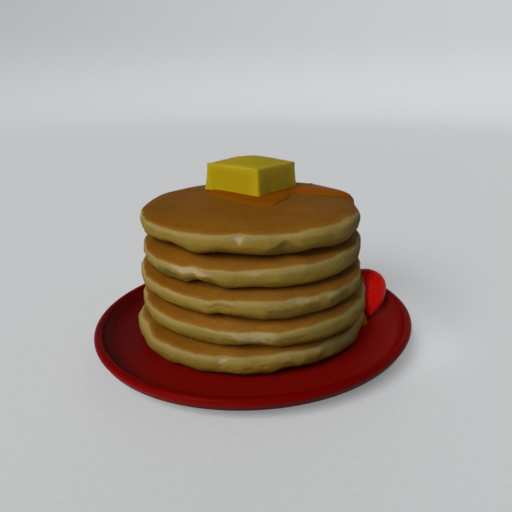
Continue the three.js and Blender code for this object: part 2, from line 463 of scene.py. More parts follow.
def strawberry_skin():
    """A ripe strawberry's skin: shiny, deep red, a little paler by the leaves."""
    material, add, place = new_material("strawberry_skin")
    ripe = add("Attribute", {}, "Fac", attribute_name="ripe")
    reds = ((0.1, "CF4935"), (0.3, "CF0E04"), (1.0, "CB0A03"))
    colour, _ = clouded(add, place, 7, 3.0, reds, 0.3, ripe)
    finish = {"Base Color": colour, "Roughness": 0.42, "IOR": 1.35, "Specular IOR Level": 0.12}
    return close_material(material, finish, scatter=(0.15, 3, (1.0, 0.2, 0.1)))


def strawberry_seed():
    """Seeds of a very ripe strawberry: reddish brown, hardly lighter than the skin."""
    material, add, place = new_material("strawberry_seed")
    colour, _ = clouded(add, place, 4, 2.0, ((0.35, "A81407"), (0.65, "B42A10")))
    return close_material(material, {"Base Color": colour, "Roughness": 0.45, "Specular IOR Level": 0.1})


def strawberry_leaf():
    """Fresh strawberry leaves: matte, in two greens that run into each other every 3 mm."""
    material, add, place = new_material("strawberry_leaf")
    colour, cloud = clouded(add, place, 3, 4.0, ((0.3, "396220"), (0.7, "668E38")))
    bump = add("Bump", {"Height": cloud, "Strength": 0.3, "Distance": 0.3 * MM})
    return close_material(material, {"Base Color": colour, "Roughness": 0.6, "Normal": bump})


def studio_paper():
    """A matte roll of pale backdrop paper with the faintest tooth, a shade darker up the wall, lit
    a little from behind so that shadows on it stay soft. Its real tooth of 0.1 mm is too fine to
    show, so it is drawn 4 mm wide."""
    material, add, place = new_material("studio_paper")
    colour, _ = clouded(add, place, 4, 2.0, ((0.3, "CCCED0"), (0.7, "D0D2D4")))
    height = add("SeparateXYZ", {"Vector": place}, "Z")
    up_the_wall = add("MapRange", {"Value": height, "From Max": 300 * MM}, interpolation_type=S_CURVE)
    laid_on = {SHARE: up_the_wall, UNDER: colour, OVER: "B4B7BA"}
    colour = add("Mix", laid_on, MIXED, data_type="RGBA")
    glow = {"Emission Color": (0.96, 0.98, 1.0, 1.0), "Emission Strength": 0.19}
    return close_material(material, {"Base Color": colour, "Roughness": 0.95} | glow)


# ---- plate ----


def plate_section():
    """Half a section through the plate, from the middle of its underside round the foot ring,
    the knee, the wall and the lip to the middle of its floor: straight stretches and arcs, and
    a quadratic curve inside the wall. With it, how far each point is on the outside: 1 below
    the lip, and from a half to nothing over the lip's bead."""
    reach = box_mm("plate")[1][:2]
    radius = math.sqrt((reach**2).sum() / 2) / math.sqrt(1 + PLATE_OVAL**2)
    lip = (radius - LIP_RADIUS, LIP_TOP - LIP_RADIUS)
    rounded = arc(lip, LIP_RADIUS, LIP_OUTER_ANGLE, LIP_INNER_ANGLE, 30)
    inner = rounded[-1]
    outward = np.array([math.cos(LIP_OUTER_ANGLE), math.sin(LIP_OUTER_ANGLE)])
    downward = np.array([outward[1], -outward[0]])
    knee = lip + (LIP_RADIUS - KNEE_RADIUS) * outward + WALL_RUN * downward
    run = (inner[1] - FLOOR) / math.tan(LIP_INNER_ANGLE - math.pi / 2)
    foot_inner = FOOT_RADIUS - FOOT_WIDTH
    recess = np.linspace((1, FOOT_HEIGHT), (foot_inner - FOOT_SLOPE, FOOT_HEIGHT), 12)
    foot = np.array(
        [
            (foot_inner, FOOT_CHAMFER),
            (foot_inner + FOOT_CHAMFER, 0),
            (FOOT_RADIUS - FOOT_CHAMFER, 0),
            (FOOT_RADIUS, FOOT_CHAMFER),
            (FOOT_RADIUS + FOOT_SLOPE, FOOT_HEIGHT),
        ]
    )
    turned_up = arc(knee, KNEE_RADIUS, KNEE_ANGLE, LIP_OUTER_ANGLE, 16)
    under = np.concatenate([np.linspace(foot[-1], turned_up[0], 14)[1:-1], turned_up])
    wall = bend(inner, (inner[0] - run, FLOOR), (radius - FLOOR_EDGE, FLOOR), 14)
    floor = np.linspace(wall[-1], (1, FLOOR), 30)[1:]
    section = np.concatenate([recess, foot, under, rounded, wall[1:], floor])
    outside = np.zeros(len(section))
    below = len(recess) + len(foot) + len(under)
    outside[:below] = 1
    outside[below : below + len(rounded)] = smooth_step(0.5, 0, np.linspace(0, 1, len(rounded)))
    return section, outside


# How far the lip rises and falls, and over what distance.
LIP_SWAY = 0.25
LIP_SWAY_RUN = 110


def make_plate(material):
    """The section turned round the axis, stretched into an oval and turned to its place. A
    thrown plate is never quite level, so its lip rises and falls by a few tenths."""
    section, outside = plate_section()
    angle = round_turn(256)
    rings = on_circle(section[:, :1], angle, section[:, 1:])
    rings = turned(rings * (1 + PLATE_OVAL, 1 - PLATE_OVAL, 1), PLATE_TURN, 2)
    out = np.linalg.norm(rings[..., :2], axis=-1)
    free = smooth_step(FOOT_RADIUS + 10, box_mm("plate")[1][0], out)
    rings[..., 2] += LIP_SWAY * free * (ripples(rings * (1, 1, 0), LIP_SWAY_RUN, 3, 1) - 0.6)
    piece = add_mesh("plate_stoneware", *closed_shape(rings), material)
    write_measure(piece, "outside", np.repeat(outside, angle.size), 1, 0)
    hand_over(piece, "plate_glaze", "plate")


# ---- pancakes ----

SEGMENTS = 400
UNDER_SHARES = np.linspace(0.04, 1, 14, endpoint=False)
RIM_ANGLES = np.linspace(-math.pi / 2, math.pi / 2, 76)
TOP_SHARES = np.linspace(0.02, 1, 34, endpoint=False)[::-1]
# The rim is squarer than an ellipse: the power that its sine and cosine are raised to.
UNDER_FULLNESS = 0.82
TOP_FULLNESS = 0.76
# How uneven the outline is, and how deep the side's level wrinkles and its broad hollows are.
UNEVEN, WRINKLED, HOLLOWED = 0.28, 0.09, 0.25

# Flat-sided dents in each side, as a knock or the edge of a spatula leaves them: the angle of
# the middle, the level from -1 at the underside to 1 at the top, the half width in degrees,
# the half height in levels, and the depth.
DENTS = (
    ((-101.5, 0.5, 5, 0.75, 2.0), (-100, -1.1, 14, 0.6, 1.6), (-70, -0.9, 11, 0.8, 1.6)),
    ((-89, 0.5, 15, 0.65, 2.2), (-88, -1.0, 13, 0.8, 2.4), (-105, 0.55, 6, 0.5, 1.4)),
    ((-103, -0.1, 8, 0.6, 1.6), (-69, 0.5, 7, 0.6, 1.6), (-54, 0.5, 7, 0.5, 1.4)),
    ((-116, 0.2, 12, 0.6, 1.5), (-109, -1.0, 11, 1.0, 3.0), (-130, -0.6, 9, 0.7, 1.4)),
    ((-95, 0.55, 5.5, 0.75, 2.0), (-75, -1.0, 11, 1.4, 4.4), (-103, -0.9, 12, 0.7, 1.4)),
)
# How high the lower edge stands off what it lies on: pairs of an angle and a lift. Between
# them the lift changes evenly, and beyond them it is small and uneven.
LIFTS = (
    ((-129, 0), (-123, 0.7), (-115, 0), (-90, 0.8), (-80, 0.5), (-76, 2.0), (-63, 2.2),
     (-54, 1.0), (-40, 0)),
    ((-106, 0), (-101, 1.2), (-93, 3.1), (-87, 2.4), (-83, 1.7), (-78, 0.1), (-70, 0)),
    ((-110, 0), (-104.5, 2.4), (-99, 2.3), (-94, 1.7), (-90, 0.6), (-84, 0)),
    ((-123, 0), (-117, 4.2), (-107, 1.7), (-102, 0.3), (-88, 1.1), (-76, 0.3), (-60, 0)),
    ((-175, 0), (-155, 1.6), (-139, 1.9), (-133, 2.5), (-126, 1.0), (-120, 0), (-116, 0.5),
     (-107, 3.3), (-101, 3.4), (-90, 2.8), (-81, 1.8), (-76, 0.1), (-68, 0.2), (-59, 2.4),
     (-54, 2.0), (-44, 0)),
)
# Where the browned face ends on the side: pairs of an angle and a level, from -1 at the
# underside to 1 at the top.
BROWN_EDGES = (
    ((-154, 0.7), (-146, 0.6), (-129, 0.52), (-112, 0.49), (-101, 0.52), (-89, 0.74),
     (-76, 0.7), (-65, 0.6), (-55, 0.56), (-45, 0.64)),
    ((-155, 0.42), (-141, 0.32), (-134, 0.25), (-116, 0.3), (-106, 0.25), (-80, 0.27),
     (-69, 0.5), (-47, 0.56), (-38, 0.65)),
    ((-155, 0.42), (-140, 0.36), (-130, 0.25), (-120, 0.42), (-112, 0.5), (-100, 0.47),
     (-82, 0.54), (-68, 0.45), (-42, 0.41)),
    ((-160, 0.4), (-140, 0.26), (-131, 0.2), (-120, 0.24), (-112, 0.34), (-103, 0.52),
     (-68, 0.5), (-57, 0.52), (-42, 0.58)),
    ((-160, 0.4), (-140, 0.42), (-125, 0.48), (-112, 0.58), (-90, 0.62), (-60, 0.67), (-33, 0.68)),
)
USUAL_BROWN_EDGE = 0.55
# Patches of the side that stand for flat facets, coloured as light falls on them: the tone, 1 for a painted
# highlight where a facet catches the key and -1 for painted shade where it faces away, and then the
# corners, clockwise, as an angle and a level.
PATCHES = (
    ((1.0, (-104.5, 0.42), (-98, 0.5), (-102.5, -0.05)),
     (0.6, (-64, 0.6), (-50, 0.5), (-57, 0.25)),
     (0.18, (-50, 0.4), (-30, 0.6), (-30, -0.6), (-52, -0.6))),
    ((0.6, (-114.5, 0.36), (-106, 0.33), (-110, 0.02)),
     (0.55, (-104.5, 0.27), (-83, 0.33), (-78, 0.08), (-86, -0.5), (-97, -0.4)),
     (-0.5, (-77, 0.0), (-66, 0.1), (-70, -0.7), (-85, -0.65))),
    ((0.5, (-76, 0.5), (-58.5, 0.37), (-58.5, 0.1), (-70, 0.15)),
     (-0.7, (-84, -0.02), (-70, 0.1), (-57, 0.05), (-57, -0.7), (-84, -0.7)),
     (0.6, (-54, 0.38), (-43, 0.42), (-40, 0.3), (-54, 0.12)),
     (-0.8, (-53, 0.05), (-38, 0.25), (-36, -0.6), (-53, -0.6))),
    ((0.9, (-132, 0.22), (-120, 0.24), (-106, 0.05), (-114, -0.35), (-124, -0.25)),
     (-0.8, (-138, 0.0), (-126, -0.3), (-115, -0.5), (-124, -0.95), (-142, -0.7)),
     (-0.6, (-109, -0.15), (-101, -0.2), (-103, -0.9), (-112, -0.85)),
     (0.4, (-96, 0.4), (-82, 0.45), (-88, 0.0))),
    ((1.0, (-98.5, 0.5), (-92, 0.55), (-94.5, -0.15)),
     (-1.0, (-74, 0.4), (-62, -0.85), (-90, -0.85)),
     (-0.4, (-60, 0.3), (-47, 0.2), (-50, -0.7), (-62, -0.6))),
)
# How much painted shade the lower part of each side gets where it turns from the key, and the angles
# between which that fades in, and out again.
PAINTED_SHADE_AMOUNT = (0.0, 0.4, 0.8, 0.8, 0.9)
PAINTED_SHADE_FROM = (-48, -28)
PAINTED_SHADE_TO = (40, 0)
# Where a layer's rim is higher or lower than the even shape: the layer, the angle of the middle,
# the half width in degrees, and the height.
RIM_SAGS = (
    (1, -88, 13, -2.0), (2, -116, 24, 1.4), (2, -80, 8, 0.45),
    (3, -112, 9, -1.4), (4, -129, 14, 1.65), (4, -68, 7, 1.0),
)
# How many dents and gaps each pancake has round the rest of its side, at random.
MORE_DENTS = 16
MORE_GAPS = 5
# Burst bubbles in the side and in the top face: how many, and their least and greatest radius.
# Their depth is a share of their radius.
SIDE_BUBBLES = (90, (0.7, 1.5))
FACE_BUBBLES = (45, (0.8, 2.0))
BUBBLE_DEPTH = 0.45


def layer_height(layer, x, y):
    """Height of the surface that layer number `layer` of the stack lies on: flat on the plate,
    and above a pancake a shallow paraboloid, plus one long wave in x times one in y, plus a bell
    curve over the angle for each place where the rim sags or stands up."""
    if layer == 0:
        return FLOOR + 0 * x
    middle_y = CENTRES[:, 1].mean()
    reach = (x**2 + (y - middle_y) ** 2) / RADII[0] ** 2
    crown = CROWN * layer * (CROWN_LEVEL - reach) / len(STACK)
    wave_x = np.sin(x / WAVE_RUN[0] + layer * WAVE_SHIFT[0])
    wave_y = np.cos(y / WAVE_RUN[1] + layer * WAVE_SHIFT[1])
    height = FLOOR + layer * PITCH + crown + WAVE_HEIGHT * wave_x * wave_y
    around = np.arctan2(y - middle_y, x - CENTRES[:, 0].mean())
    near_rim = smooth_step(0.3, 0.85, reach)
    for sagging, angle, half_width, rise in RIM_SAGS:
        if sagging == layer:
            height = height + rise * near_rim * bell(degrees_from(around, angle), 0, half_width)
    return height


def degrees_from(angle, middle):
    """Degrees from `middle` to each angle, the short way round."""
    return (np.degrees(angle) - middle + 180) % 360 - 180


def outline_radius(index, angle):
    """A circle with a few shallow lobes, and a finer unevenness along the edge."""
    edge = on_circle(RADII[index], angle, 40.0 * index)
    return RADII[index] * lobed(index, angle) + UNEVEN * ripples(edge, 24, 11, 3)


def dent_depth(index, angle, level):
    """How far the side is pushed in: each dent is a four-sided pyramid over angle and level, and
    the dents that overlap take the deeper of the two."""
    rng = np.random.default_rng(40 + index)
    dents = list(DENTS[index])
    for _ in range(MORE_DENTS):
        middle = rng.uniform(-35, 215)
        size = rng.uniform(5, 14)
        dents.append((middle, rng.uniform(-1.0, 0.5), size, rng.uniform(0.5, 0.9), size / 8))
    depth = np.zeros(np.broadcast_shapes(angle.shape, level.shape))
    for middle, height, half_width, half_height, deepest in dents:
        across = np.abs(degrees_from(angle, middle)) / half_width
        along = np.abs(level - height) / half_height
        depth = np.maximum(depth, deepest * np.clip(1 - across - along, 0, 1))
    return depth


def edge_lift(index, angle):
    """Height of the lower edge above its neighbour: the given lifts in front, and round the rest
    a few triangular gaps at random."""
    angles, lifts = np.array(LIFTS[index]).T
    away = degrees_from(angle, -90)
    lift = np.interp(away, angles + 90, lifts, left=0, right=0)
    rng = np.random.default_rng(140 + index)
    for _ in range(MORE_GAPS):
        middle = rng.uniform(-20, 200)
        across = np.abs(degrees_from(angle, middle)) / rng.uniform(7, 16)
        lift = np.maximum(lift, rng.uniform(1, 3.2) * np.clip(1 - across, 0, 1))
    return lift


def brown_edge(index, angle):
    """Level at which the browned face ends: the given levels in front, the usual one elsewhere."""
    angles, levels = np.array(BROWN_EDGES[index]).T
    angles = np.concatenate([[angles[0] - 30], angles, [angles[-1] + 30]])
    levels = np.concatenate([[USUAL_BROWN_EDGE], levels, [USUAL_BROWN_EDGE]])
    return np.interp(degrees_from(angle, -90), angles + 90, levels)


def patch_tone(index, angle, level):
    """Painted highlight and painted shade on the side: the patches are convex polygons over the unrolled
    side, and each one's tone fades out within 1 mm of its edges. The painted shade where the side turns
    from the key fades in and out by smooth steps."""
    tone = np.zeros(np.broadcast_shapes(angle.shape, level.shape))
    across = math.radians(1) * RADII[index]
    upwards = PITCH / 2
    for strength, *corners in PATCHES[index]:
        inside = np.full(tone.shape, 1.0)
        for corner, after in zip(corners, corners[1:] + corners[:1]):
            step = unit(np.array([(after[0] - corner[0]) * across, (after[1] - corner[1]) * upwards]))
            out = degrees_from(angle, corner[0]) * across
            rise = (level - corner[1]) * upwards
            inside = np.minimum(inside, out * step[1] - rise * step[0])
        tone += strength * np.clip(inside, 0, 1)
    # Painted shade on the lower part of the side where it turns from the key.
    place = degrees_from(angle, 0)
    darkened = smooth_step(*PAINTED_SHADE_FROM, place) * smooth_step(*PAINTED_SHADE_TO, place)
    return tone - PAINTED_SHADE_AMOUNT[index] * darkened * smooth_step(0.6, 0.2, level)


def pits(points, seed, count, sizes, chosen):
    """Depth of small round bubbles burst in a surface: a bowl round each of `count` points that
    are picked among the `chosen` ones."""
    rng = np.random.default_rng(seed)
    flat = points.reshape(-1, 3)
    candidates = np.flatnonzero(chosen.reshape(-1))
    centres = flat[rng.choice(candidates, count, replace=False)]
    depth = np.zeros(len(flat))
    for centre, size in zip(centres, rng.uniform(*sizes, count)):
        away = np.linalg.norm(flat - centre, axis=1) / size
        depth = np.maximum(depth, BUBBLE_DEPTH * size * np.clip(1 - away**2, 0, 1))
    return depth.reshape(points.shape[:-1])


def pancake_rings(index):
    """A disc between two layer heights, with a rim that is a quarter ellipse below and a wider
    one above. Its rings run from the middle of the underside round the rim to the middle of the
    top. Returns the rings, and how far round the rim each lies, from -90 to 90 degrees."""
    angle = round_turn(SEGMENTS)
    under = np.full(len(UNDER_SHARES), -math.pi / 2)
    top = np.full(len(TOP_SHARES), math.pi / 2)
    share = np.concatenate([UNDER_SHARES, np.ones(len(RIM_ANGLES)), TOP_SHARES])[:, None]
    turn = np.concatenate([under, RIM_ANGLES, top])[:, None]
    power = np.where(turn < 0, UNDER_FULLNESS, TOP_FULLNESS)
    level = np.sign(turn) * np.abs(np.sin(turn)) ** power
    bulge = np.clip(np.cos(turn), 0, 1) ** power
    outline = outline_radius(index, angle)
    rim = np.where(turn < 0, UNDER_RIM, TOP_RIM)
    radius = (outline - rim) * share + rim * bulge
    exposed = bulge**0.5
    edge = on_circle(radius, angle, 60.0 * index + 9 * level)
    wrinkles = WRINKLED * ripples(edge * (0.2, 0.2, 1), 4.2, 21 + index, 3)
    hollows = HOLLOWED * ripples(edge, 17, 31 + index, 2)
    radius = radius + exposed * (wrinkles + hollows - dent_depth(index, angle, level))
    rings = on_circle(radius, angle, 0.0)
    rings[..., :2] += CENTRES[index, :2]
    x, y = rings[..., 0], rings[..., 1]
    low = layer_height(index, x, y) + GAP
    high = layer_height(index + 1, x, y)
    raised = (1 + level) / 2
    near_edge = smooth_step(RADII[index] - 2 * rim, RADII[index] - 2, radius)
    lift = edge_lift(index, angle) * near_edge * (1 - raised)
    rings[..., 2] = low + (high - low) * raised + lift
    return rings, turn


def make_pancake(index, material):
    """The rings with bubbles burst in the side and a few in the top face."""
    rings, turn = pancake_rings(index)
    outward = unit((rings - CENTRES[index]) * (1, 1, 0))
    spread = np.broadcast_to(turn, rings.shape[:-1])
    side = (spread > -0.9) & (spread < 0.45)
    rings -= outward * pits(rings, 70 + index, *SIDE_BUBBLES, side)[..., None]
    face = spread > 1.2
    rings[..., 2] -= 0.4 * pits(rings, 80 + index, *FACE_BUBBLES, face)
    piece = add_mesh(f"pancake_{index + 1}_crumb", *closed_shape(rings), material)
    wander = 0.03 * ripples(rings, 26, 51 + index, 3)
    level = np.sign(spread) * np.abs(np.sin(spread)) ** TOP_FULLNESS
    angle = round_turn(SEGMENTS)
    edge = brown_edge(index, angle)
    top = smooth_step(edge - 0.16, edge + 0.3, level + wander)
    below = smooth_step(0.86, 0.98, -level - wander)
    # Painted highlights and painted shade on the side's facets, and painted shade where it turns from the
    # key.
    write_measure(piece, "tone", patch_tone(index, angle, level), 0, 0)
    write_measure(piece, "browned", np.maximum(top, below), 1, 1)
    # Height up the side for its colour: darker below, partly browning and partly painted shade, with a
    # painted highlight under the brown edge.
    write_measure(piece, "rise", 0.85 - (edge - level) / 1.5, 0, 1)
    # Painted light on the crust of the lower pancakes, which lie in the shade of the one above.
    write_measure(piece, "pale", np.full(level.size + 2, index < len(STACK) - 1))
    hand_over(piece, "pancake", PANCAKE_NODES[index])


# ---- butter ----

BUTTER_EDGE = 0.7
# Distance from the upper edge over which the butter dried and turned pale.
DRIED = 2.5


def make_butter(material):
    """Rings that are rounded squares, from the middle of the foot up the sides to the middle of
    the top. The edges are arcs, the foot sits on the top pancake and spreads as it melts, and
    the top is a shallow crown."""
    middle = box_mm("butter").mean(axis=0)[:2]
    half = BUTTER_SIDE / 2
    height = BUTTER_HEIGHT - BUTTER_CROWN
    edge = BUTTER_EDGE
    foot = np.linspace((1, 0), (half - edge, 0), 16, endpoint=False)
    lower = arc((half - edge, edge), edge, -math.pi / 2, 0, 10)
    side = np.linspace((half, edge), (half, height - edge), 30)[1:-1]
    upper = arc((half - edge, height - edge), edge, 0, math.pi / 2, 14)
    top = np.linspace((half - edge, height), (0.6, height), 26)[1:]
    section = np.concatenate([foot, lower, side, upper, top])
    angle = round_turn(288)
    powers = np.abs([np.cos(angle), np.sin(angle)]) ** BUTTER_SQUARENESS
    square = powers.sum(axis=0) ** (-1 / BUTTER_SQUARENESS)
    out, level = section[:, :1], section[:, 1:]
    rise = level / height
    rings = on_circle(out * square, angle, level)
    slump = BUTTER_FLARE * (1 - rise) ** 2.5 * (1 + 0.3 * ripples(rings * (1, 1, 0), 17, 61, 2))
    dents = 0.12 * ripples(rings, 16, 62, 2) + 0.012 * ripples(rings * (1, 1, 0.3), 3.5, 63, 2)
    side_share = np.clip(out / half, 0, 1) ** 6
    radius = (out + side_share * (slump + dents)) * square
    local = on_circle(radius, angle, 0.0)[..., :2] / half
    crown = BUTTER_CROWN * np.clip(1 - local**2, 0, 1).prod(axis=-1) * rise
    rings = on_circle(radius, angle + BUTTER_TURN, 0.0)
    rings[..., :2] += middle
    worn = 0.12 * rise * ripples(rings, 9, 64, 2)
    rings[..., 2] = layer_height(len(STACK), rings[..., 0], rings[..., 1]) + GAP + crown + worn
    rings[..., 2] += level
    piece = add_mesh("butter_pat", *closed_shape(rings), material)
    corner = smooth_step(1.2, 1.32, square)
    brink = bell(out, half, DRIED) * bell(level, height, DRIED)
    edge_share = 0.5 * np.maximum(brink, corner * side_share * 0.6)
    write_measure(piece, "edge", edge_share, 0, 0)
    hand_over(piece, "butter", "butter")
    return middle


# ---- syrup ----

SYRUP_DEPTH = 1.5
SYRUP_EDGE = 4.5
# Outline of the syrup round the butter: pairs of a direction in degrees and a reach.
PUDDLE = (
    (-172, 26), (-145, 32), (-130, 32.5), (-117, 33), (-105, 37), (-95, 41), (-88, 45),
    (-82, 48), (-75, 49), (-71, 47), (-65, 41.5), (-57, 38), (-45, 33), (-36, 30.5),
    (-27, 32), (-23, 38), (-20, 49), (-16, 57.5), (-11, 63), (-5, 70), (2, 80), (12, 80),
    (26, 72), (42, 42), (60, 33), (95, 33), (125, 31), (150, 33), (170, 27),
)
# Where it gathers: the direction and the half width in degrees, the distances from the stack's
# axis between which it swells, and by how many times its depth.
SWELLS = ((5, 20, (30, 60), 0.8), (-9, 9, (53, 61), 1.1))
# Runs over the edge: direction from the stack's axis, how far each wanders sideways on its way
# down, both in degrees, the height where it ends, and its half width.
RUNS = ((20, -20, 9.5, 5.4), (32, -4, 44, 3.6), (42, 3, 67, 3.8), (54, 3, 30, 3.4))
RUN_THICKNESS = 2.9
# How deep a run's middle lies in the side, how much deeper in the joints between pancakes, and
# how far it wavers, as an angle.
RUN_SUNK = 0.6
JOINT_DEPTH = 1.3
RUN_WAVER = 0.018
# A run is narrower half way down and swells to a drop near its end. Both are bell curves: the
# drop's place and width are in half widths of the run, the waist's are shares of its length.
DROP = (1.7, 1.3)
DROP_SWELL = 0.32
WAIST = (0.6, 0.25)
WAIST_LOSS = 0.25
# The pool's usual reach, its height, and how far its middle lies outside the lowest pancake.
POOL_REACH = 8
POOL_HEIGHT = 5.5
POOL_OUT = 1.5
# How deep the underside of the puddle and of the pool lies in what it is on, so that no gap shows.
PUDDLE_SUNK = 0.9
POOL_SUNK = 0.4
VOXEL = 0.75


def over_the_edge(angle, travel, lift):
    """Points on the top pancake, then over its rim: `travel` is the way gone from the stack's
    axis along the surface, straight on the flat and then round the upper quarter ellipse of the
    rim, and `lift` is the height above that surface, square to it."""
    centre = CENTRES[-1, :2]
    flat = RADII[-1] - TOP_RIM
    half = (PITCH - GAP) / 2
    quarter = math.pi / 2 * math.sqrt((TOP_RIM**2 + half**2) / 2)
    turn = np.clip((travel - flat) / quarter, 0, 1) * math.pi / 2
    radius = np.minimum(travel, flat) + TOP_RIM * np.sin(turn)
    x = centre[0] + radius * np.cos(angle)
    y = centre[1] + radius * np.sin(angle)
    z = layer_height(len(STACK), x, y) - half * (1 - np.cos(turn))
    slope = half * np.sin(turn)
    across = TOP_RIM * np.cos(turn) + 1e-6
    lift = lift / np.hypot(slope, across)
    x = x + lift * slope * np.cos(angle)
    y = y + lift * slope * np.sin(angle)
    return np.stack([x, y, z + lift * across], -1)


def puddle(middle):
    """A thin sheet of syrup round the butter: its outline follows the given reaches, its height is
    a sine of the distance to that outline, and it is deeper where it gathers by the runs."""
    angle = round_turn(480)
    directions, reaches = np.array(PUDDLE).T
    reach = np.interp(degrees_from(angle, 0), directions, reaches, period=360)
    reach = reach + 0.4 * ripples(on_circle(30.0, angle, 0.0), 16, 91, 2)
    share = np.concatenate([np.linspace(0, 1, 16), 1 + np.linspace(0, 1, 30)[1:] ** 1.2])[:, None]
    out = reach - SYRUP_EDGE * np.minimum(share, 1)
    out = out * (1 - 0.98 * np.clip(share - 1, 0, 1))
    outline = on_circle(reach[0], angle[0], 0.0)
    rings = on_circle(out, angle, 0.0)
    away = np.stack([np.linalg.norm(ring[:, None] - outline, axis=-1).min(axis=-1) for ring in rings])
    slope = np.sin(math.pi / 2 * np.minimum(away / SYRUP_EDGE, 1)) ** 0.8
    x, y = (rings[..., :2] + middle - CENTRES[-1, :2]).transpose(2, 0, 1)
    direction = np.arctan2(y, x)
    travel = np.hypot(x, y)
    swell = 1
    for heading, half_width, between, more in SWELLS:
        around = bell(degrees_from(angle, heading), 0, half_width)
        swell = swell + more * around * smooth_step(*between, travel)
    depth = SYRUP_DEPTH * swell * slope * (1 + 0.1 * ripples(rings, 20, 92, 1))
    upper = over_the_edge(direction, travel, depth)
    lower = over_the_edge(direction, travel, -PUDDLE_SUNK)
    return closed_shape(np.concatenate([lower[::-1], upper]))


def run_down(direction, drift, end, half_width):
    """A run of syrup down the side: elliptical sections along a path that starts on the top
    face, turns over the rim and follows the bulging sides, and ends in a heavy drop."""
    angle = math.radians(direction)
    start = over_the_edge(angle, RADII[-1] - TOP_RIM + np.array([-6, 4, 14, 21]), 0.0)
    heights = np.arange(CENTRES[-1, 2] - 2, end, -1.0)
    turn = angle + math.radians(drift) * (heights[0] - heights) / (heights[0] - end)
    turn = turn + RUN_WAVER * np.sin(heights / 9 + direction)
    along = np.stack([np.cos(turn), np.sin(turn)], -1)
    reach = CENTRES[:, :2] @ along.T + RADII[:, None]
    storey = np.clip((heights - CENTRES[0, 2]) / PITCH, 0, len(STACK) - 1.001)
    lower = storey.astype(int)
    column = np.arange(len(heights))
    share = storey - lower
    side_radius = reach[lower, column] * (1 - share) + reach[lower + 1, column] * share
    joints = JOINT_DEPTH * np.cos(FULL_TURN * (heights - FLOOR) / PITCH)
    flat_path = (side_radius - RUN_SUNK - joints)[:, None] * along
    path = np.concatenate([start, np.column_stack([flat_path, heights])])
    share = np.linspace(0, 1, len(path))
    wide = np.array([-math.sin(angle), math.cos(angle), 0])
    outward = unit(np.cross(unit(np.gradient(path, axis=0)), wide))
    length = np.linalg.norm(np.diff(path, axis=0), axis=1).sum()
    to_end = (1 - share) * length / half_width
    girth = 1 + DROP_SWELL * bell(to_end, *DROP) - WAIST_LOSS * bell(share, *WAIST)
    girth *= np.sqrt(np.clip(1 - (1 - to_end / 1.5).clip(0, 1) ** 2, 0.02, 1))
    girth = (girth * smooth_step(-0.02, 0.05, share))[:, None]
    around = round_turn(24)
    rings = path[:, None, :] + (half_width * girth * np.cos(around))[..., None] * wide
    rings += (RUN_THICKNESS * girth * np.sin(around))[..., None] * outward[:, None, :]
    return closed_shape(rings)


def pool(direction):
    """A flat-bottomed dome of syrup on the plate at the foot of a run, with shallow lobes."""
    angle = math.radians(direction)
    heading = np.array([math.cos(angle), math.sin(angle)])
    around = round_turn(64)
    share = np.sin(np.linspace(0.06, 1, 16)[::-1] * math.pi / 2)[:, None]
    lobes = 0.35 * np.cos(2 * (around - angle - 1.4)) + 0.12 * np.sin(3 * around)
    reach = POOL_REACH * (1 + lobes)
    upper = on_circle(share * reach, around, FLOOR + POOL_HEIGHT * np.sqrt(1 - share**2))
    lower = on_circle(share[::-1] * reach, around, FLOOR - POOL_SUNK)
    rings = np.concatenate([lower, upper])
    rings[..., :2] += heading * (CENTRES[0, :2] @ heading + RADII[0] + POOL_OUT)
    return closed_shape(rings)


def make_syrup(middle, material):
    """The puddle, its runs and the pool, fused into one wet body by a voxel remesh and evened
    out by smoothing."""
    shapes = [puddle(middle), pool(RUNS[0][0] + RUNS[0][1])] + [run_down(*run) for run in RUNS]
    piece = add_mesh("maple_syrup", *joined(shapes), material)
    remesh = piece.modifiers.new("fuse", "REMESH")
    remesh.mode = "VOXEL"
    remesh.voxel_size = VOXEL * MM
    remesh.use_smooth_shade = True
    even = piece.modifiers.new("even", "SMOOTH")
    even.factor = 0.5
    even.iterations = 6
    graph = bpy.context.evaluated_depsgraph_get()
    mesh = bpy.data.meshes.new_from_object(piece.evaluated_get(graph))
    piece.modifiers.clear()
    piece.data = mesh
    places = np.empty(3 * len(mesh.vertices))
    mesh.vertices.foreach_get("co", places)
    x, y, z = places.reshape(-1, 3).T / MM
    from_rim = RADII[-1] - np.hypot(x - CENTRES[-1, 0], y - CENTRES[-1, 1])
    cover = smooth_step(0.1, 1.3, z - layer_height(len(STACK), x, y))
    write_measure(piece, "depth", np.maximum(cover, smooth_step(TOP_RIM, 8, from_rim)))
    hand_over(piece, "syrup")


# ---- strawberry ----

SEEDS = 170
LEAVES = 10
GOLDEN_ANGLE = math.pi * (3 - math.sqrt(5))
# A dimple's reach and depth, and half of a seed's length, width and thickness.
DIMPLE_REACH = 1.5
DIMPLE_DEPTH = 0.38
SEED_HALVES = (0.95, 0.55, 0.4)


def berry_radius(share):
    """Radius at a share of the length from the tip: a swelling cone up to the shoulder, and a
    quarter ellipse past it."""
    before = np.clip(share / BERRY_SHOULDER, 0, 1)
    past = np.clip((share - BERRY_SHOULDER) / (1 - BERRY_SHOULDER), 0, 1)
    return BERRY_RADIUS * np.sin(math.pi / 2 * before) ** BERRY_FULLNESS * np.sqrt(1 - past**2)


def berry_point(share, angle, lift=0.0):
    """A point on the berry before it is laid down, `lift` millimetres outside its skin. The
    section is slightly three-sided, as ripe berries are."""
    lobed = 1 + 0.03 * np.cos(3 * angle + 0.6) + 0.02 * np.cos(2 * angle)
    return on_circle(berry_radius(share) * lobed + lift, angle, (share - 0.5) * BERRY_LENGTH)


def lay_down(points):
    """Turns what is built along the berry's axis to where the berry lies."""
    return turned(turned(points, -math.pi / 2 - BERRY_LEAN, 0), BERRY_TURN, 2)


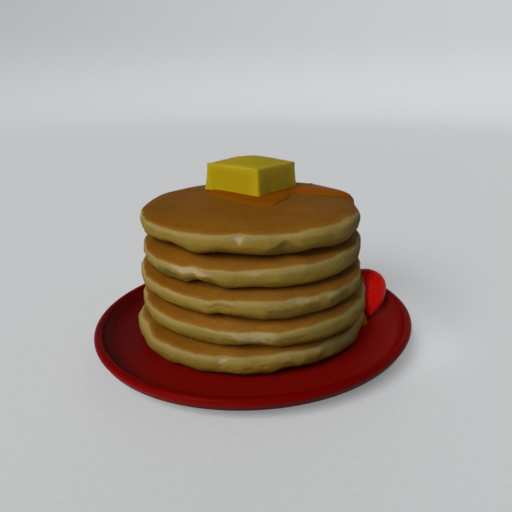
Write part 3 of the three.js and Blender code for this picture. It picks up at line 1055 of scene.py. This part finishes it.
def make_strawberry(skin, seed_material, leaf_material):
    """The berry with a dimple for each seed, the seeds in a spiral that keeps them evenly
    spread, and the leaves with their stem."""
    ring_share = ((1 - np.cos(np.linspace(0.03, math.pi - 0.03, 150))) / 2)[:, None]
    rings = berry_point(ring_share, round_turn(240))
    number = np.arange(SEEDS)
    seed_share = 0.03 + 0.9 * ((number + 0.5) / SEEDS) ** 0.72
    seed_angle = number * GOLDEN_ANGLE
    depth = np.zeros(rings.shape[:-1])
    for centre in berry_point(seed_share, seed_angle):
        away = np.linalg.norm(rings - centre, axis=-1) / DIMPLE_REACH
        depth = np.maximum(depth, DIMPLE_DEPTH * np.exp(-(away**2) * 1.6))
    points, faces = closed_shape(rings - unit(rings * (1, 1, 0)) * depth[..., None])
    laid = lay_down(points)
    shift = box_mm("strawberry").mean(axis=0) - (laid.min(0) + laid.max(0)) / 2
    berry = add_mesh("strawberry_flesh", laid + shift, faces, skin)
    ripe = np.broadcast_to(smooth_step(1.0, 0.72, ring_share), rings.shape[:-1])
    write_measure(berry, "ripe", ripe, 1, 0)
    hand_over(berry, "strawberry", "strawberry")
    seeds = [berry_seed(share, turn) for share, turn in zip(seed_share, seed_angle)]
    crown = [leaf(number) for number in range(LEAVES)] + [stem()]
    for name, shapes, material, slot in (
        ("strawberry_seeds", seeds, seed_material, "strawberry"),
        ("strawberry_leaves", crown, leaf_material, "strawberry_leaf"),
    ):
        points, faces = joined(shapes)
        hand_over(add_mesh(name, lay_down(points) + shift, faces, material), slot)


def berry_seed(share, turn):
    """A seed in its dimple: a small drop, longest along the berry, six sides by five rings."""
    centre = berry_point(share, turn, -0.3)
    ahead = unit(berry_point(share + 0.01, turn) - berry_point(share - 0.01, turn))
    around = np.array([-math.sin(turn), math.cos(turn), 0])
    outward = np.cross(around, ahead)
    long, wide, thick = SEED_HALVES
    level = np.array([-0.8, -0.35, 0.1, 0.5, 0.85])[:, None]
    girth = np.sqrt(1 - level**2) * (1 - 0.25 * level)
    step = round_turn(6)
    rings = centre + (long * level + 0 * step)[..., None] * ahead
    rings = rings + (wide * girth * np.cos(step))[..., None] * around
    return closed_shape(rings - (thick * girth * np.sin(step))[..., None] * outward)


def leaf(number):
    """A pointed leaf: lens-shaped sections along a path that lies over the shoulder and lifts at
    the tip."""
    rng = np.random.default_rng(300 + number)
    turn = FULL_TURN * (number + rng.uniform(-0.25, 0.25)) / LEAVES
    length = rng.uniform(7.5, 9.5)
    lift = rng.uniform(0.2, 1.2)
    share = np.linspace(0, 1, 16)[:, None]
    out = 1.0 + length * share * 0.82
    height = BERRY_LENGTH * 0.5 + 0.9 - 6.2 * share**1.7 + lift * share**3
    width = 2.6 * np.sin(math.pi * (0.12 + 0.88 * share)) ** 0.8 + 0.1
    thick = 0.45 * (1 - 0.6 * share)
    around = round_turn(12)
    across = width * np.cos(around)
    fold = 0.16 * across**2 / (width + 0.5)
    z = height + thick * np.sin(around) + fold
    return closed_shape(turned(np.stack([out + 0 * across, across, z], -1), turn, 2))


def stem():
    """A short bent stalk: round sections along a quadratic curve."""
    share = np.linspace(0, 1, 14)[:, None]
    base = BERRY_LENGTH * 0.5 - 0.5
    path = np.stack([1.5 * share**2, 6 * share**2, base + 6 * share], -1)
    return closed_shape(on_circle(1.3 - 0.4 * share + 0.3 * share**6, round_turn(12), 0.0) + path)


# ---- studio ----

# The paper's flat floor and the curve at its edge.
FLOOR_REACH = 1400
SWEEP_RADIUS = 700


def make_sweep(material):
    """A round sweep of paper: a flat floor whose edge curves up into a low wall."""
    edge = FLOOR_REACH + SWEEP_RADIUS
    floor = np.linspace((20, 0), (FLOOR_REACH, 0), 12)
    curve = arc((FLOOR_REACH, SWEEP_RADIUS), SWEEP_RADIUS, -math.pi / 2, 0, 24)[1:]
    wall = np.linspace((edge - 5, SWEEP_RADIUS - 50), (edge, SWEEP_RADIUS), 4)
    section = np.concatenate([floor, curve, wall])
    rings = on_circle(section[:, :1], round_turn(96), section[:, 1:])
    points = np.concatenate([rings.reshape(-1, 3), [(0, 0, 0)]])
    # The fan that would close the top is left out, so the sweep stays open.
    faces = [face for face in grid_faces(*rings.shape[:2]) if len(points) not in face]
    add_mesh("studio_sweep", points, faces, material)


# A spot's own radius, and then the camera's lens, place and tilt down.
SPOT_SOFTNESS = 30
LENS = 38.67
CAMERA_PLACE = (-0.4, -332.7, 168.5)
CAMERA_TILT = 19.18


def add_light(kind, name, power):
    """A lamp, at the middle of the plate and facing down until it is placed."""
    lamp = bpy.data.objects.new(name, bpy.data.lights.new(name, kind))
    lamp.data.energy = power
    bpy.context.scene.collection.objects.link(lamp)
    return lamp


def add_soft_light(name, azimuth, elevation, softness, power, colour):
    """A far, soft lamp. Azimuth and elevation say where it stands as seen from the plate, and
    softness is the angle it fills there, all in degrees."""
    lamp = add_light("SUN", name, power)
    lamp.data.angle = math.radians(softness)
    lamp.data.color = colour
    lamp.rotation_euler = (math.radians(90 - elevation), 0, math.radians(azimuth + 90))
    return lamp


def add_spot(name, place, aim, width, power):
    """A soft-edged spot from a place to an aim, both in millimetres. Its width is in degrees."""
    lamp = add_light("SPOT", name, power)
    lamp.data.spot_size = math.radians(width)
    lamp.data.spot_blend = 1.0
    lamp.data.shadow_soft_size = SPOT_SOFTNESS * MM
    lamp.location = Vector(place) * MM
    towards = Vector(aim) * MM - lamp.location
    lamp.rotation_euler = towards.to_track_quat("-Z", "Y").to_euler()


def set_up_studio():
    """The sweep, one soft key from the front left, a low fill at the back right that makes no
    highlights, a weak glow all round, a narrow spot on the strawberry, which the stack keeps from
    the key, and one on the shaded floor of the plate."""
    make_sweep(studio_paper())
    add_soft_light("key", -130, 40, 40, 2.15, (1.0, 0.99, 0.97))
    fill = add_soft_light("back_fill", 88, 8, 60, 1.0, (0.97, 0.98, 1.0))
    fill.visible_glossy = False
    add_spot("berry_spot", (-200, -620, 760), box_mm("strawberry").mean(axis=0), 3.4, 24)
    add_spot("floor_spot", (430, -260, 840), (84, -12, FLOOR), 5.6, 8)
    world = bpy.data.worlds.new("studio")
    world.use_nodes = True
    glow = world.node_tree.nodes["Background"].inputs
    glow["Color"].default_value = (0.95, 0.97, 1.0, 1.0)
    glow["Strength"].default_value = 0.05
    bpy.context.scene.world = world
    bpy.context.scene.view_settings.view_transform = "Standard"


def set_up_camera():
    """A camera in front of the plate, looking a little down on it."""
    camera = bpy.data.cameras.new("camera")
    camera.sensor_width = 36
    camera.lens = LENS
    camera.clip_start = 10 * MM
    seen_by = bpy.data.objects.new("camera", camera)
    seen_by.location = Vector(CAMERA_PLACE) * MM
    seen_by.rotation_euler = (math.radians(90 - CAMERA_TILT), 0, 0)
    bpy.context.scene.collection.objects.link(seen_by)
    bpy.context.scene.camera = seen_by


def main():
    set_up_camera()
    make_plate(glazed_stoneware())
    batter = griddled_batter()
    for index in range(len(STACK)):
        make_pancake(index, batter)
    middle = make_butter(butter_pat())
    make_syrup(middle, maple_syrup())
    make_strawberry(strawberry_skin(), strawberry_seed(), strawberry_leaf())
    set_up_studio()


main()
